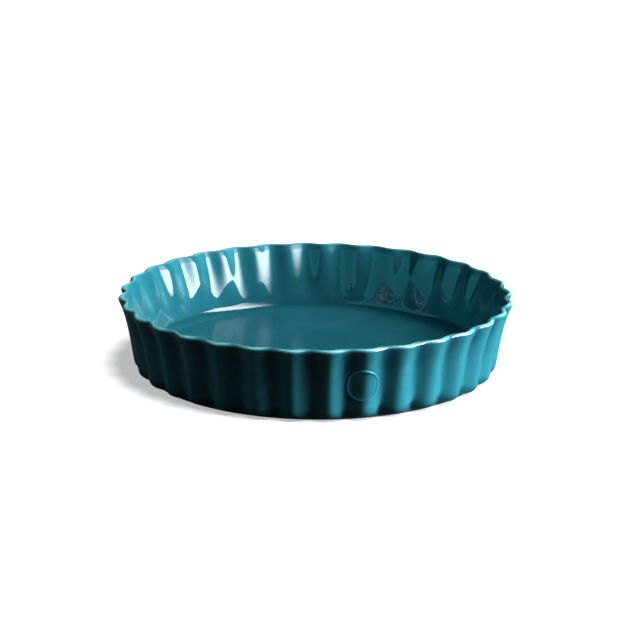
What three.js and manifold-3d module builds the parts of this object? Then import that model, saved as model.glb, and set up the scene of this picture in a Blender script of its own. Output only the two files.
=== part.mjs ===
// Deep fluted baking dish: one pressed stoneware body under a coat of coloured glaze.
// Millimetres, +Z up, standing on z = 0 with its axis on Z; the front is -Y.
import * as THREE from "three";
import { mergeVertices } from "three/addons/utils/BufferGeometryUtils.js";
import Module from "manifold-3d";

// Overall sizes
const RIM_DIAMETER = 280; // across the flute crests
const HEIGHT = 55;
const FLUTES = 32;

// Wall and lip
const WALL_TAPER = 11.25; // how far the crests run in from the rim to the toe above the foot
const LIP_THICKNESS = 5; // the lip is a full round
const LIP_FLUTE_DEPTH = 2.8; // crest to valley
const TOE_FLUTE_DEPTH = 6.5;
const TOE_CREST_RADIUS = 6.5; // round under each crest
const TOE_VALLEY_RADIUS = 3;
const WALL_FLARE = 1.5; // how far the curved wall lies inside a straight one
const WALL_FLARE_AT = 0.45; // share of the way down from lip to toe or cove

// Floor and foot
const FLOOR_HEIGHT = 9.5; // glazed floor above the table
const FLOOR_INSET = 5; // the flat floor ends this far inside the foot's edge
const COVE_RADIUS = 8; // round between floor and wall
const FOOT_HEIGHT = 1.9; // bare clay below the glaze
const FOOT_WIDTH = 8.5;
const HOLLOW_HEIGHT = 3; // underside above the table, inside the foot
const HOLLOW_SLOPE = 2; // run of the slope from the foot up to the underside

// Glaze
const GLAZE = 0.5;

// Round relief on the front of the wall
const ROUNDEL_DIAMETER = 24;
const ROUNDEL_ANGLE = 15.7; // degrees from the front, towards +X
const ROUNDEL_HEIGHT = 27; // centre above the table
const ROUNDEL_RELIEF = 0.5;
const ROUNDEL_RING_WIDTH = 1.2;
const ROUNDEL_RING_RELIEF = 0.5; // above the roundel's face
const ROUNDEL_GAP = 0.3; // clearance to the glaze behind it
const ROUNDEL_BAR_LENGTH = 30; // of the bar that cuts it out, long enough to cross the wall

// Facets
const STEPS_PER_FLUTE = 5;
const LIP_STEPS = 2;
const TOE_STEPS = 2;
const COVE_STEPS = 2;
const ROUNDEL_STEPS = 28;

const lipRadius = LIP_THICKNESS / 2;
const toeCrest = RIM_DIAMETER / 2 - WALL_TAPER;
const footRadius = toeCrest - TOE_FLUTE_DEPTH - TOE_VALLEY_RADIUS; // straight below the valleys
const floorRadius = footRadius - FLOOR_INSET;
const footInnerRadius = footRadius - FOOT_WIDTH;

// A flute is a smooth wave at the lip and a full lobe between sharp valleys at the toe.
// Both are 0 in a valley and 1 on a crest, and a valley faces the front.
const lipWave = (turn) => (1 - Math.cos(FLUTES * turn)) / 2;
const toeWave = (turn) => Math.abs(Math.sin((FLUTES * turn) / 2));

const onArc = (centre, radius, angle) =>
  new THREE.Vector2(centre.x + radius * Math.cos(angle), centre.y + radius * Math.sin(angle));

function arc(centre, radius, from, to, steps) {
  const points = [];
  for (let step = 0; step <= steps; step += 1) {
    points.push(onArc(centre, radius, from + ((to - from) * step) / steps));
  }
  return points;
}

// Lean from upright of the line that touches two rounds, whose centres it passes at
// distances that differ by offset.
function leanBetween(lower, upper, offset) {
  const run = upper.clone().sub(lower);
  return Math.atan2(run.x, run.y) - Math.asin(offset / run.length());
}

// Point of a flared wall between the ends of its straight run.
function flarePoint(top, bottom, lean) {
  const inward = new THREE.Vector2(-Math.cos(lean), Math.sin(lean));
  return top.clone().lerp(bottom, WALL_FLARE_AT).addScaledVector(inward, WALL_FLARE);
}

function lipCentre(turn) {
  const valleyDepth = LIP_FLUTE_DEPTH * (1 - lipWave(turn));
  return new THREE.Vector2(RIM_DIAMETER / 2 - lipRadius - valleyDepth, HEIGHT - lipRadius);
}

// The rounds at the top and bottom of the outer wall at one turn, and the wall's lean.
function outerWall(turn) {
  const lip = lipCentre(turn);
  const toeRadius = THREE.MathUtils.lerp(TOE_VALLEY_RADIUS, TOE_CREST_RADIUS, toeWave(turn));
  const valleyDepth = TOE_FLUTE_DEPTH * (1 - toeWave(turn));
  const toe = new THREE.Vector2(toeCrest - valleyDepth - toeRadius, FOOT_HEIGHT + toeRadius);
  return { lip, toe, toeRadius, lean: leanBetween(toe, lip, toeRadius - lipRadius) };
}

// Outside of the dish at one turn round the axis, from the lip's crown down to the foot,
// as (radius, height) points that lie depth below the glazed surface.
function outsideAt(turn, depth) {
  const { lip, toe, toeRadius, lean } = outerWall(turn);
  const lipArc = arc(lip, lipRadius - depth, Math.PI / 2, -lean, LIP_STEPS);
  const toeArc = arc(toe, toeRadius - depth, -lean, -Math.PI / 2, TOE_STEPS);
  return [...lipArc, flarePoint(lipArc.at(-1), toeArc[0], lean), ...toeArc];
}

// Inside of the dish at one turn, from the lip's crown down to the edge of the flat floor.
// The line from the waved lip to the round cove lets the flutes fade towards the floor.
function insideAt(turn, depth) {
  const lip = lipCentre(turn);
  const cove = new THREE.Vector2(floorRadius, FLOOR_HEIGHT + COVE_RADIUS);
  const lean = leanBetween(cove, lip, COVE_RADIUS + lipRadius);
  const lipArc = arc(lip, lipRadius - depth, Math.PI / 2, Math.PI - lean, LIP_STEPS);
  const coveArc = arc(cove, COVE_RADIUS + depth, -lean, -Math.PI / 2, COVE_STEPS);
  return [...lipArc, flarePoint(lipArc.at(-1), coveArc[0], lean), ...coveArc];
}

const onAxis = (height) => new THREE.Vector2(0, height);

// Bare clay below the glaze: foot ring and hollow underside, from the glaze to the axis.
function undersideProfile() {
  return [
    new THREE.Vector2(footRadius, 0),
    new THREE.Vector2(footInnerRadius, 0),
    new THREE.Vector2(footInnerRadius - HOLLOW_SLOPE, HOLLOW_HEIGHT),
    onAxis(HOLLOW_HEIGHT),
  ];
}

// Closed surface through the profile found at each turn. A profile runs with the material
// on its right, and either starts and ends on the axis or closes on itself.
function turned(profileAt) {
  const columns = FLUTES * STEPS_PER_FLUTE;
  const profiles = [];
  for (let column = 0; column < columns; column += 1) {
    profiles.push(profileAt((2 * Math.PI * column) / columns));
  }
  const rows = profiles[0].length;
  const corners = profiles.flatMap((profile, column) => {
    const turn = (2 * Math.PI * column) / columns;
    return profile.map(
      (point) => new THREE.Vector3(point.x * Math.sin(turn), -point.x * Math.cos(turn), point.y),
    );
  });
  const closes = profiles[0][0].x > 0;
  const indices = [];
  for (let column = 0; column < columns; column += 1) {
    const left = column * rows;
    const right = ((column + 1) % columns) * rows;
    for (let row = 0; row < (closes ? rows : rows - 1); row += 1) {
      const next = (row + 1) % rows;
      const quad = [left + row, left + next, right + next, right + row];
      if (profiles[0][row].x === 0) {
        indices.push(quad[0], quad[1], quad[2]);
      } else if (profiles[0][next].x === 0) {
        indices.push(quad[0], quad[1], quad[3]);
      } else {
        indices.push(...splitQuad(quad, corners));
      }
    }
  }
  const geometry = new THREE.BufferGeometry().setFromPoints(corners);
  geometry.setIndex(indices);
  geometry.computeVertexNormals();
  return geometry;
}

// The shorter diagonal splits a quad, so that two layers that touch are split alike.
function splitQuad([a, b, c, d], corners) {
  const across = corners[a].distanceTo(corners[c]);
  const other = corners[b].distanceTo(corners[d]);
  return across < other ? [a, b, c, a, c, d] : [a, b, d, b, c, d];
}

const bodyGeometry = turned((turn) => [
  onAxis(FLOOR_HEIGHT - GLAZE),
  ...insideAt(turn, GLAZE).reverse(),
  ...outsideAt(turn, GLAZE).slice(1),
  ...undersideProfile(),
]);

const glazeInsideGeometry = turned((turn) => [
  onAxis(FLOOR_HEIGHT),
  ...insideAt(turn, 0).reverse(),
  ...insideAt(turn, GLAZE),
  onAxis(FLOOR_HEIGHT - GLAZE),
]);

const glazeOutsideGeometry = turned((turn) => [
  ...outsideAt(turn, 0),
  ...outsideAt(turn, GLAZE).reverse(),
]);

// Roundel: the layer between two surfaces that follow the wall, cut out by a round punch.
const wasm = await Module();
wasm.setup();

function solidOf(geometry) {
  geometry.deleteAttribute("normal");
  geometry.deleteAttribute("uv");
  const merged = mergeVertices(geometry);
  return new wasm.Manifold(
    new wasm.Mesh({
      numProp: 3,
      vertProperties: merged.getAttribute("position").array,
      triVerts: new Uint32Array(merged.index.array),
    }),
  );
}

// Everything inside the outer wall's surface, raised by height.
function wallBlock(height) {
  return solidOf(
    turned((turn) => {
      const outside = outsideAt(turn, -height);
      return [onAxis(outside[0].y), ...outside, onAxis(outside.at(-1).y)];
    }),
  );
}

const roundelTurn = THREE.MathUtils.degToRad(ROUNDEL_ANGLE);
const wallThere = outerWall(roundelTurn);

// Round bar through the wall, square to it at the roundel's place.
function punch(diameter) {
  const bar = new THREE.CylinderGeometry(diameter / 2, diameter / 2, ROUNDEL_BAR_LENGTH, ROUNDEL_STEPS);
  bar.rotateX(wallThere.lean);
  bar.translate(0, -wallThere.lip.x, ROUNDEL_HEIGHT);
  bar.rotateZ(roundelTurn);
  return solidOf(bar);
}

function roundelGeometry() {
  const faceHeight = ROUNDEL_GAP + ROUNDEL_RELIEF;
  const outer = punch(ROUNDEL_DIAMETER);
  const ring = outer.subtract(punch(ROUNDEL_DIAMETER - 2 * ROUNDEL_RING_WIDTH));
  const face = outer.intersect(wallBlock(faceHeight));
  const raised = ring.intersect(wallBlock(faceHeight + ROUNDEL_RING_RELIEF));
  const made = face.add(raised).subtract(wallBlock(ROUNDEL_GAP)).getMesh();
  const geometry = new THREE.BufferGeometry();
  geometry.setAttribute("position", new THREE.BufferAttribute(made.vertProperties, 3));
  geometry.setIndex(new THREE.BufferAttribute(made.triVerts, 1));
  geometry.computeVertexNormals();
  return geometry;
}

const clay = new THREE.MeshStandardMaterial({ color: "#d8c6a8", roughness: 0.85, metalness: 0 });
const insideGlaze = new THREE.MeshStandardMaterial({ color: "#1d6a80", roughness: 0.08, metalness: 0 });
const outsideGlaze = new THREE.MeshStandardMaterial({ color: "#175a6d", roughness: 0.15, metalness: 0 });
const roundelGlaze = new THREE.MeshStandardMaterial({ color: "#1a6074", roughness: 0.15, metalness: 0 });

const dish = new THREE.Group();
dish.name = "fluted_baking_dish";

function addPiece(name, geometry, material) {
  const piece = new THREE.Mesh(geometry, material);
  piece.name = name;
  dish.add(piece);
}

addPiece("stoneware_body", bodyGeometry, clay);
addPiece("glaze_inside", glazeInsideGeometry, insideGlaze);
addPiece("glaze_outside", glazeOutsideGeometry, outsideGlaze);
addPiece("seal_roundel", roundelGeometry(), roundelGlaze);

export default dish;
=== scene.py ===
import math

import bmesh
import bpy
from mathutils import Matrix, Vector


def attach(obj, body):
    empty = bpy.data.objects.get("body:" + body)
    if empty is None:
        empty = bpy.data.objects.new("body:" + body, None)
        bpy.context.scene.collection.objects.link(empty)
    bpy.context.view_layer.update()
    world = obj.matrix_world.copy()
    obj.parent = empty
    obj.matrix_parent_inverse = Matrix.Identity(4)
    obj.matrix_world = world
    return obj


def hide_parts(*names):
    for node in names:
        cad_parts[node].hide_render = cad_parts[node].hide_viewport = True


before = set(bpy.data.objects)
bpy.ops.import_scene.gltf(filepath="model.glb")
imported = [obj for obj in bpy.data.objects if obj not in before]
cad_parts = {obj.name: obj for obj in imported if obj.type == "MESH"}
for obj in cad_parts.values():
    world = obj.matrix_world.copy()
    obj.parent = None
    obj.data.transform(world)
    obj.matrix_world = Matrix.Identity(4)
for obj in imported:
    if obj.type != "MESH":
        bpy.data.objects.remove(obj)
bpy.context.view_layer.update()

# The stoneware body. Pale clay is pressed between fluted moulds, dried and fired in one
# piece. The glaze hides all of it but the foot ring and the hollow inside it, which are wiped
# bare so that the dish doesn't stick to the kiln shelf. The ring's outer flank, under the toes,
# is given painted shade: a near-black teal that stands in for the shadow there.
MM = 0.001
FLUTES = 32
FLUTE_STEPS = 20
FLUTE_START = 100
LIP_HEIGHT = 52.5
LIP_WAVE = 2.8
LIP_WAVE_START = 42
LOBE_DEPTH = 3.9
TOE_HEIGHT = 8.4
TOE_ROUND = 6.5
TOE_VALLEY_ROUND = 3
TOE_VALLEY_SOFTNESS = 0.12
TOE_FLUTE_DEPTH = 6.5
TOE_FADE = 0.2
TOE_UNDERSIDE = 122.25
FOOT_HEIGHT = 1.9
COVE_HEIGHT = 14.9
POCKET_DEPTH = 3.7
POCKET_LAG = 0.0163
RIDGE_FULLNESS = 0.08
FLARE = 1.5
FLARE_SKEW = 0.56
INSIDE_FLARE = 1.6
INSIDE_FLARE_SKEW = 0.25
MID_WALL_FOOT = (119.3, 1.9)
MID_WALL_TOP = (137.5, 55)
MID_WALL_BLEND = 2.2
WALL_RISE = 20
SHARP_ANGLE = math.radians(75)
BODY_OUTLINE = [
    (0, 9, 0, 0), (119.9, 9, 6.05, 4), (136.5, 54.4, 1.4, 3),
    (139.8, 54.4, 1.9, 4), (126.93, 2.4, 4.67, 5), (122.25, 2.4, 0, 0),
    (119.25, 0, 0.5, 3), (110.75, 0, 0.8, 4), (108.75, 3, 1, 4), (0, 3, 0, 0)]
BODY_WALL_CUTS = 8
CLAY_STOPS = [(0.3, (0.52, 0.41, 0.28)), (0.7, (0.69, 0.57, 0.41))]
IRON_COLOUR = (0.2, 0.13, 0.08, 1)
# Painted shade: the near-black teal laid on the foot ring's outer flank for the shadow under the
# toes.
TOE_SHADE_COLOUR = (0.008, 0.05, 0.07, 1)
TOE_SHADE_RADIUS = 117
TOE_SHADE_HEIGHT = 0.3


def template(corners, wall_cuts, closed=False):
    """Half outline of a round piece, through (radius, height, rounding, steps) in millimetres."""
    shape = bmesh.new()
    points = [shape.verts.new((radius * MM, 0, height * MM)) for radius, height, _, _ in corners]
    ends = points[1:] + points[:1] if closed else points[1:]
    for pair in zip(points, ends):
        shape.edges.new(pair)
    for point, (_, _, rounding, steps) in zip(points, corners):
        if rounding:
            bmesh.ops.bevel(shape, geom=[point], offset=rounding * MM, offset_type="OFFSET",
                            affect="VERTICES", segments=steps, profile=0.5, material=-1)
    for edge in shape.edges[:]:
        if abs(edge.verts[0].co.z - edge.verts[1].co.z) > WALL_RISE * MM:
            bmesh.ops.subdivide_edges(shape, edges=[edge], cuts=wall_cuts)
    return shape


def share(value, low, high):
    """How far value is from low to high, from 0 to 1."""
    return min(max((value - low) / (high - low), 0), 1)


def wave(swing, softness):
    """A wave of round arcs from 0 to 1 that meet in valleys, sharp or soft."""
    return (math.hypot(swing, softness) - softness) / (math.hypot(1, softness) - softness)


def straight_wall(foot, top, height):
    """Radius at a height of the plain wall through two points."""
    return foot[0] + (height - foot[1]) * ((top[0] - foot[0]) / (top[1] - foot[1]))


def fluted_radius(radius, height, turn):
    """Radius that the fluted mould gives to a point of the plain round wall, in millimetres."""
    middle = straight_wall(MID_WALL_FOOT, MID_WALL_TOP, height)
    outside = share(radius, middle - MID_WALL_BLEND, middle + MID_WALL_BLEND)
    across = FLUTES * turn
    around = FLUTES * (turn + POCKET_LAG)
    ridge = (POCKET_DEPTH * (1 + math.cos(around)) / 2
             + RIDGE_FULLNESS * (1 - math.cos(2 * around)) / 2)
    lobe_depth = LOBE_DEPTH + (LIP_WAVE - LOBE_DEPTH) * share(height, LIP_WAVE_START, LIP_HEIGHT)
    valley = lobe_depth * (1 + math.cos(across)) / 2
    lip_depth = ridge + (valley - ridge) * outside
    if outside > 0.5:
        rise = share(height, TOE_HEIGHT, LIP_HEIGHT)
        toe_depth = TOE_FLUTE_DEPTH * (1 - wave(math.sin(across / 2), TOE_VALLEY_SOFTNESS))
        if height < TOE_HEIGHT:
            outwards = share(radius, TOE_UNDERSIDE, TOE_UNDERSIDE + TOE_ROUND)
            valley_depth = TOE_VALLEY_ROUND + (TOE_FLUTE_DEPTH - TOE_VALLEY_ROUND) * outwards
            toe_depth *= valley_depth / TOE_FLUTE_DEPTH
        depth = toe_depth + (lip_depth - toe_depth) * rise ** TOE_FADE
        depth *= share(height, 0, FOOT_HEIGHT)
    else:
        rise = share(height, COVE_HEIGHT, LIP_HEIGHT)
        depth = lip_depth * rise
    flare, skew = (FLARE, FLARE_SKEW) if outside > 0.5 else (INSIDE_FLARE, INSIDE_FLARE_SKEW)
    return radius - depth - flare * 4 * rise * (1 - rise) * (1 + skew * (2 * rise - 1))


def close_up(shape):
    """Joins the seams and poles of a turned shape and faces it outwards."""
    bmesh.ops.remove_doubles(shape, verts=shape.verts, dist=0.001 * MM)
    bmesh.ops.recalc_face_normals(shape, faces=shape.faces)
    if shape.calc_volume(signed=True) < 0:
        bmesh.ops.reverse_faces(shape, faces=shape.faces)


def turn_flutes(shape):
    """Turns a template through one flute, presses the flute and repeats it round the dish."""
    bmesh.ops.spin(shape, geom=shape.verts[:] + shape.edges[:], cent=(0, 0, 0), axis=(0, 0, 1),
                   angle=math.tau / FLUTES, steps=FLUTE_STEPS)
    for point in shape.verts:
        radius = point.co.xy.length
        if radius > FLUTE_START * MM:
            turn = math.atan2(point.co.x, -point.co.y)
            point.co.xy *= fluted_radius(radius / MM, point.co.z / MM, turn) * MM / radius
    bmesh.ops.spin(shape, geom=shape.verts[:] + shape.edges[:] + shape.faces[:], cent=(0, 0, 0),
                   axis=(0, 0, 1), angle=math.tau * (1 - 1 / FLUTES), steps=FLUTES - 1,
                   use_duplicate=True)
    close_up(shape)


def put_in_scene(shape, name, material):
    """Makes an object of a finished shape."""
    mesh = bpy.data.meshes.new(name)
    shape.to_mesh(mesh)
    shape.free()
    mesh.shade_smooth()
    mesh.set_sharp_from_angle(angle=SHARP_ANGLE)
    mesh.materials.append(material)
    piece = bpy.data.objects.new(name, mesh)
    bpy.context.scene.collection.objects.link(piece)
    return piece


class Wire:
    """A socket of a material's nodes. Python's arithmetic on it adds Math nodes."""

    def __init__(self, tree, socket=None):
        self.tree = tree
        self.socket = socket

    def node(self, kind, settings, sockets, output=0):
        made = self.tree.nodes.new("ShaderNode" + kind)
        for name, value in settings.items():
            if name == "stops":
                while len(made.color_ramp.elements) < len(value):
                    made.color_ramp.elements.new(1)
                for stop, (place, colour) in zip(made.color_ramp.elements, value):
                    stop.position = place
                    stop.color = (*colour, 1)
            else:
                setattr(made, name, value)
        for name, value in sockets.items():
            if isinstance(value, Wire):
                self.tree.links.new(value.socket, made.inputs[name])
            else:
                made.inputs[name].default_value = value
        return Wire(self.tree, made.outputs[output] if made.outputs else None)

    def maths(self, operation, first, second):
        return self.node("Math", {"operation": operation}, {0: first, 1: second})

    def __add__(self, other):
        return self.maths("ADD", self, other)

    __radd__ = __add__

    def __sub__(self, other):
        return self.maths("SUBTRACT", self, other)

    def __rsub__(self, other):
        return self.maths("SUBTRACT", other, self)

    def __mul__(self, other):
        return self.maths("MULTIPLY", self, other)

    __rmul__ = __mul__


def new_finish(name):
    """A material with no nodes yet, and the start of its nodes."""
    finish = bpy.data.materials.new(name)
    finish.use_nodes = True
    finish.node_tree.nodes.clear()
    return finish, Wire(finish.node_tree)


clay, nodes = new_finish("bare_stoneware")
place = nodes.node("TexCoord", {}, {}, "Object")
grain = nodes.node("TexNoise", {}, {"Vector": place, "Scale": 900, "Detail": 4, "Roughness": 0.7})
patches = nodes.node("TexNoise", {}, {"Vector": place, "Scale": 35, "Detail": 3, "Roughness": 0.6})
specks = nodes.node("TexVoronoi", {}, {"Vector": place, "Scale": 420, "Randomness": 1})
fired = nodes.node("ValToRGB", {"stops": CLAY_STOPS}, {"Fac": grain * 0.5 + patches * 0.5})
speckled = nodes.node("MapRange", {}, {
    "Value": specks, "From Min": 0.07, "From Max": 0.13, "To Min": 0.6, "To Max": 0})
iron = nodes.node("Mix", {"data_type": "RGBA"}, {0: speckled, 6: fired, 7: IRON_COLOUR}, 2)
# Painted shade under the toes: the ring's outer flank turns near-black teal, a little uneven with
# the patches.
toe_shade_mask = nodes.node("Attribute", {"attribute_name": "smear"}, {}, "Fac")
clay_and_toe_shade = nodes.node("Mix", {"data_type": "RGBA"},
                     {0: toe_shade_mask * (0.7 + patches * 0.4), 6: iron, 7: TOE_SHADE_COLOUR}, 2)
tooth = nodes.node("Bump", {}, {"Strength": 0.35, "Distance": 0.0003, "Height": grain})
shader = nodes.node("BsdfPrincipled", {}, {
    "Base Color": clay_and_toe_shade, "Roughness": grain * 0.2 + 0.72, "Normal": tooth})
nodes.node("OutputMaterial", {}, {"Surface": shader})

body_shape = template(BODY_OUTLINE, BODY_WALL_CUTS)
turn_flutes(body_shape)
# Marks where the painted shade under the toes goes: the ring's outer flank, from just above its
# standing edge.
smear = body_shape.verts.layers.float.new("smear")
for point in body_shape.verts:
    flank = point.co.xy.length > TOE_SHADE_RADIUS * MM
    point[smear] = share(point.co.z / MM, 0, TOE_SHADE_HEIGHT) if flank else 0
body = put_in_scene(body_shape, "body_clay", clay)
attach(body, "root")
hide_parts("stoneware_body")

# The glaze inside. A coat of coloured glass about half a millimetre thick, poured into the
# dish and fired on: it thins over the lip's crown, which is paler partly from the thin glaze and
# partly as painted light, pools in the cove and lies level on the floor.
INSIDE_OUTLINE = [
    (0, 9.5, 0, 0), (119.5, 9.5, 5.69, 14), (134.25, 51.2, 1.6, 6),
    (136.65, 55, 1.25, 8), (137.9, 55, 0, 0), (137.9, 54.4, 0, 0),
    (136.5, 54.4, 1.4, 3), (119.9, 9, 6.05, 4), (0, 9, 0, 0)]
GLAZE_WALL_CUTS = 26
COAT_LEVEL = 0.5
POOL_GAIN = 0.22
# The lip pales partly from thin glaze and partly as painted light on the upward-facing crown.
LIP_THINNING_AND_PAINTED_LIGHT = 0.42
VALLEY_HEIGHTS = (12, 45)
INSIDE_POOL_HEIGHTS = (9.5, 16)
INSIDE_LIP_HEIGHTS = (53.8, 55)
INSIDE_SHINE = [(9.6, 0.12), (13, 1), (50.5, 1), (52, 0.3)]
INSIDE_VALLEYS = 0.12
# Glaze colours from thin to pooled; the pale end also serves as painted light on the lip's crown.
GLAZE_STOPS = [
    (0.1, (0.18, 0.55, 0.59)), (0.5, (0.021, 0.192, 0.25)), (0.85, (0.006, 0.07, 0.11))]


def along(height, stops):
    """Amount at a height, on straight lines through (height, amount) stops."""
    for (low, first), (high, last) in zip(stops, stops[1:]):
        if height < high:
            return first + (last - first) * share(height, low, high)
    return stops[-1][1]


def lay_coat(shape, pooling, pool_heights, lip_heights, shine_stops):
    """Notes how thick the coat lies at each point, 0 where it thins out and 1 where it pools,
    and how bright it shines. The paler lip is partly thin glaze and partly painted light."""
    coat = shape.verts.layers.float.new("coat")
    shine = shape.verts.layers.float.new("shine")
    for point in shape.verts:
        height = point.co.z / MM
        crest = (1 - math.cos(FLUTES * math.atan2(point.co.x, -point.co.y))) / 2
        lip = share(height, *lip_heights)
        pool = 1 - abs(2 * share(height, *pool_heights) - 1)
        valley = share(height, *VALLEY_HEIGHTS) * (1 - crest) ** 2
        point[shine] = along(height, shine_stops)
        point[coat] = COAT_LEVEL + POOL_GAIN * pool - LIP_THINNING_AND_PAINTED_LIGHT * lip * lip + pooling * valley


def glaze(name, roughness, sheen, tint, cloudiness):
    """Teal glass fired on clay, pale where it is thin and dark where it pools. On the lip's crown
    the pale colour is partly painted light.
    """
    finish, nodes = new_finish(name)
    place = nodes.node("TexCoord", {}, {}, "Object")
    coat = nodes.node("Attribute", {"attribute_name": "coat"}, {}, "Fac")
    shine = nodes.node("Attribute", {"attribute_name": "shine"}, {}, "Fac")
    clouds = nodes.node("TexNoise", {}, {
        "Vector": place, "Scale": 28, "Detail": 3, "Roughness": 0.55})
    mottle = nodes.node("TexNoise", {}, {
        "Vector": place, "Scale": 420, "Detail": 3, "Roughness": 0.6})
    swell = nodes.node("TexNoise", {}, {
        "Vector": place, "Scale": 60, "Detail": 1, "Roughness": 0.4})
    depth = coat + (clouds - 0.5) * cloudiness + (mottle - 0.5) * (cloudiness / 2)
    colour = nodes.node("ValToRGB", {"stops": GLAZE_STOPS}, {"Fac": depth})
    skin = nodes.node("Bump", {}, {
        "Strength": 0.1, "Distance": 0.0004, "Height": swell + mottle * 0.02})
    shader = nodes.node("BsdfPrincipled", {}, {
        "Base Color": colour, "Roughness": roughness + (mottle - 0.5) * 0.08, "IOR": 1.5,
        "Specular IOR Level": sheen, "Specular Tint": tint, "Coat Weight": shine,
        "Coat Roughness": 0.03, "Coat IOR": 1.5, "Normal": skin})
    nodes.node("OutputMaterial", {}, {"Surface": shader})
    return finish


inside_shape = template(INSIDE_OUTLINE, GLAZE_WALL_CUTS)
turn_flutes(inside_shape)
lay_coat(inside_shape, INSIDE_VALLEYS, INSIDE_POOL_HEIGHTS, INSIDE_LIP_HEIGHTS, INSIDE_SHINE)
inside = put_in_scene(inside_shape, "inside_glaze",
                      glaze("teal_gloss_inside", 0.32, 0.03, (0.1, 0.6, 1, 1), 0.18))
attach(inside, "root")
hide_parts("glaze_inside")

# The glaze outside. The same coloured glass, dipped or sprayed over the fluted wall from
# the lip's crown to the toes, where it is wiped off short of the foot ring.
OUTSIDE_OUTLINE = [
    (137.9, 55, 0, 0), (140.3, 55, 2.4, 12), (127.31, 1.9, 5.06, 14), (122.25, 1.9, 0, 0),
    (122.25, 2.4, 0, 0), (126.93, 2.4, 4.67, 5), (139.8, 54.4, 1.9, 4), (137.9, 54.4, 0, 0)]
OUTSIDE_POOL_HEIGHTS = (1, 9)
# The outer half of the crown pales the same way, partly as painted light.
OUTSIDE_LIP_HEIGHTS = (52.4, 54.6)
WALL_SHINE = 0.4
OUTSIDE_SHINE = [(3, 1), (7, WALL_SHINE), (50, WALL_SHINE), (52.5, 1)]
OUTSIDE_VALLEYS = 0.4
outside_shape = template(OUTSIDE_OUTLINE, GLAZE_WALL_CUTS, closed=True)
turn_flutes(outside_shape)
lay_coat(outside_shape, OUTSIDE_VALLEYS, OUTSIDE_POOL_HEIGHTS, OUTSIDE_LIP_HEIGHTS, OUTSIDE_SHINE)
outside = put_in_scene(outside_shape, "outside_glaze",
                       glaze("teal_gloss_outside", 0.3, 0.1, (0.8, 1, 1, 1), 0.16))
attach(outside, "root")
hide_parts("glaze_outside")

# The roundel. A plain round boss with a raised ring at its edge, moulded with the wall's
# clay on one flute at the front and glazed over with it.
ROUNDEL_TURN = math.radians(15.7)
ROUNDEL_HEIGHT = 27
ROUNDEL_STEPS = 96
ROUNDEL_FACE_EDGE = 5
ROUNDEL_FACE_CUTS = 9
ROUNDEL_OUTLINE = [
    (0, 0.5, 0, 0), (9.9, 0.5, 0.5, 5), (10.5, 0.95, 0.35, 5), (11.5, 0.95, 0.45, 5),
    (12, -0.3, 0, 0), (0, -0.3, 0, 0)]
ROUNDEL_COAT = 0.55
RING_LOSS = 0.08
RING_HEIGHTS = (0.55, 0.9)
WALL_FOOT = (127.31, 1.9)
WALL_TOP = (140.3, 55)
TURN_NUDGE = 0.002
HEIGHT_NUDGE = 0.2


def wall_point(turn, height):
    """A point of the glazed outer wall."""
    radius = fluted_radius(straight_wall(WALL_FOOT, WALL_TOP, height), height, turn)
    return Vector((radius * math.sin(turn), -radius * math.cos(turn), height)) * MM


roundel_shape = template(ROUNDEL_OUTLINE, 0)
face = [edge for edge in roundel_shape.edges if edge.calc_length() > ROUNDEL_FACE_EDGE * MM]
bmesh.ops.subdivide_edges(roundel_shape, edges=face, cuts=ROUNDEL_FACE_CUTS)
bmesh.ops.spin(roundel_shape, geom=roundel_shape.verts[:] + roundel_shape.edges[:],
               cent=(0, 0, 0), axis=(0, 0, 1), angle=math.tau, steps=ROUNDEL_STEPS,
               use_merge=True)
coat = roundel_shape.verts.layers.float.new("coat")
shine = roundel_shape.verts.layers.float.new("shine")
for point in roundel_shape.verts:
    point[coat] = ROUNDEL_COAT - RING_LOSS * share(point.co.z / MM, *RING_HEIGHTS)
    point[shine] = WALL_SHINE
wall_radius = wall_point(ROUNDEL_TURN, ROUNDEL_HEIGHT).xy.length
for point in roundel_shape.verts:
    across, up, proud = point.co
    turn = ROUNDEL_TURN + across / wall_radius
    height = ROUNDEL_HEIGHT + up / MM
    beside = wall_point(turn + TURN_NUDGE, height) - wall_point(turn - TURN_NUDGE, height)
    above = wall_point(turn, height + HEIGHT_NUDGE) - wall_point(turn, height - HEIGHT_NUDGE)
    point.co = wall_point(turn, height) + beside.cross(above).normalized() * proud
close_up(roundel_shape)
roundel = put_in_scene(roundel_shape, "seal_boss",
                       glaze("teal_gloss_roundel", 0.3, 0.1, (0.8, 1, 1, 1), 0.16))
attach(roundel, "root")
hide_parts("seal_roundel")

# The studio floor. A wide sheet of white card that lies flat under the dish. It is white to
# the eye, keeps the dish's soft shadow, and shows only faintly in the gloss, as the nearly
# black valleys of the outer wall ask for.
CARD_RADIUS = 12
CARD_STEPS = 96
CARD_GLOSS_SHARE = 0.02
card, nodes = new_finish("white_card")
path = nodes.node("LightPath", {}, {}, "Is Camera Ray")
mirror = Wire(nodes.tree, path.socket.node.outputs["Is Glossy Ray"])
through = Wire(nodes.tree, path.socket.node.outputs["Is Transmission Ray"])
paper = nodes.node("BsdfDiffuse", {}, {"Color": (0.75, 0.75, 0.75, 1)})
glow = nodes.node("Emission", {}, {"Color": (1, 1, 1, 1), "Strength": 0.45})
seen = nodes.node("AddShader", {}, {0: paper, 1: glow})
dull = nodes.node("BsdfDiffuse", {}, {"Color": (0.02, 0.02, 0.02, 1)})
shader = nodes.node("MixShader", {}, {
    0: path + mirror * CARD_GLOSS_SHARE + through, 1: dull, 2: seen})
nodes.node("OutputMaterial", {}, {"Surface": shader})
floor_shape = bmesh.new()
bmesh.ops.create_circle(floor_shape, cap_ends=True, segments=CARD_STEPS, radius=CARD_RADIUS)
floor = put_in_scene(floor_shape, "floor", card)

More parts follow.
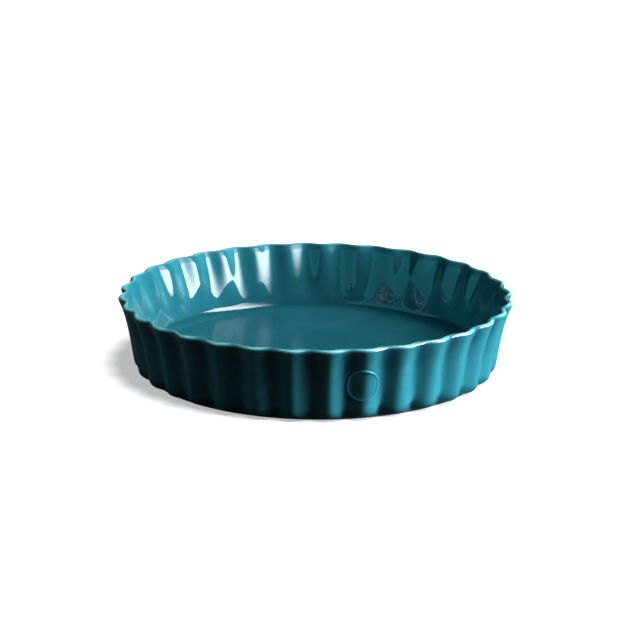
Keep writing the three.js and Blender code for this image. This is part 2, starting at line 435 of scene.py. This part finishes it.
# The studio light. Upright soft boxes stand round the dish: the washes and the fill light its
# surfaces, the boxes and the strip show only in its gloss, and the strip and the top box are
# flagged off the inside. A lamp overhead lays the shadow on the card, and the room is dim.
LAMP_DISTANCE = 2.2
TOP_BOX_DISTANCE = 1.2
WHITE = (1, 1, 1)
FILL_COLOUR = (0.7, 1, 1)
LEFT_COLOUR = (0.1, 0.88, 1)
RIGHT_BOX_STOPS = [
    (0, (0, 0, 0)), (0.2, (0.14, 0.15, 0.15)), (0.6, (0.95, 1, 1)), (0.9, (0.95, 1, 1)),
    (1, (0.28, 0.3, 0.3))]
ROOM_COLOUR = (0.01, 0.01, 0.01, 1)


def soft_box(name, turns, heights, radiance, in_gloss, distance=LAMP_DISTANCE, colour=WHITE):
    """An upright lamp that faces the dish between two turns, from the front towards the right,
    and two heights. It shows only in the gloss, or only lights the surfaces."""
    middle, half = math.radians(sum(turns) / 2), math.radians(turns[1] - turns[0]) / 2
    lamp = bpy.data.lights.new(name, "AREA")
    lamp.shape = "RECTANGLE"
    lamp.size = 2 * distance * math.tan(half)
    lamp.size_y = heights[1] - heights[0]
    lamp.energy = radiance * math.pi * lamp.size * lamp.size_y
    lamp.color = colour
    away = Vector((math.sin(middle), -math.cos(middle), 0))
    box = bpy.data.objects.new(name, lamp)
    box.location = away * distance + Vector((0, 0, sum(heights) / 2))
    box.rotation_euler = away.to_track_quat("Z", "Y").to_euler()
    box.visible_glossy = in_gloss
    box.visible_diffuse = not in_gloss
    bpy.context.scene.collection.objects.link(box)
    return box


def light_only(lamp, name, pieces):
    """Flags a lamp off everything but these pieces."""
    lit = bpy.data.collections.new(name)
    for piece in pieces:
        lit.objects.link(piece)
    lamp.light_linking.receiver_collection = lit


right_box = soft_box("right_box", (36, 88), (0.02, 4.2), 18, True)
right_box.data.use_nodes = True
right_box.data.node_tree.nodes.clear()
nodes = Wire(right_box.data.node_tree)
spot = nodes.node("NewGeometry", {}, {}, "Parametric")
across = nodes.node("SeparateXYZ", {}, {0: spot}, "X")
fade = nodes.node("ValToRGB", {"stops": RIGHT_BOX_STOPS}, {"Fac": across})
glow = nodes.node("Emission", {}, {"Color": fade, "Strength": 1})
nodes.node("OutputLight", {}, {"Surface": glow})
soft_box("low_wash", (80.5, 95.5), (0.02, 0.62), 88, False)
soft_box("high_wash", (58, 98), (0.82, 4.0), 7.8, False)
soft_box("left_fill", (-125, -72), (0.1, 2.0), 0.6, False, colour=FILL_COLOUR)
soft_box("left_box", (-95, -22), (0.1, 2.6), 1.2, True, colour=LEFT_COLOUR)
top_box = soft_box("top_box", (25, 100), (1.4, 4.5), 6, True, distance=TOP_BOX_DISTANCE)
lip_strip = soft_box("lip_strip", (62, 96), (0.02, 1.0), 45, True)
light_only(top_box, "under_top_box", [outside, roundel])
light_only(lip_strip, "under_lip_strip", [outside, roundel])
sky = bpy.data.lights.new("card_light", "SUN")
sky.energy = 2.6
sky.angle = math.radians(16)
overhead = bpy.data.objects.new("card_light", sky)
overhead.rotation_euler = (math.radians(17), math.radians(10), 0)
bpy.context.scene.collection.objects.link(overhead)
light_only(overhead, "under_card_light", [floor])
world = bpy.data.worlds.new("dim_room")
world.use_nodes = True
world.node_tree.nodes["Background"].inputs["Color"].default_value = ROOM_COLOUR
bpy.context.scene.world = world

# The camera. It stands where the photograph was taken from: a little above the rim, far
# back, with a long lens.
CAMERA_DISTANCE = 2.623
CAMERA_TURN = math.radians(1.32)
CAMERA_ELEVATION = math.radians(16.09)
CAMERA_ROLL = math.radians(0.43)
CAMERA_LENS = 211.6
SENSOR_WIDTH = 36
RIM_MIDDLE = Vector((0, 0, 0.055))
AIM_POINT = Vector((-0.0004, 0, 0.0394))
camera_data = bpy.data.cameras.new("camera")
camera_data.lens = CAMERA_LENS
camera_data.sensor_width = SENSOR_WIDTH
camera = bpy.data.objects.new("camera", camera_data)
camera.location = RIM_MIDDLE + CAMERA_DISTANCE * Vector((
    math.sin(CAMERA_TURN) * math.cos(CAMERA_ELEVATION),
    -math.cos(CAMERA_TURN) * math.cos(CAMERA_ELEVATION), math.sin(CAMERA_ELEVATION)))
aim = AIM_POINT - camera.location
roll = Matrix.Rotation(CAMERA_ROLL, 3, "Z")
camera.rotation_euler = (aim.to_track_quat("-Z", "Y").to_matrix() @ roll).to_euler()
bpy.context.scene.collection.objects.link(camera)
bpy.context.scene.camera = camera
bpy.context.scene.view_settings.view_transform = "Standard"
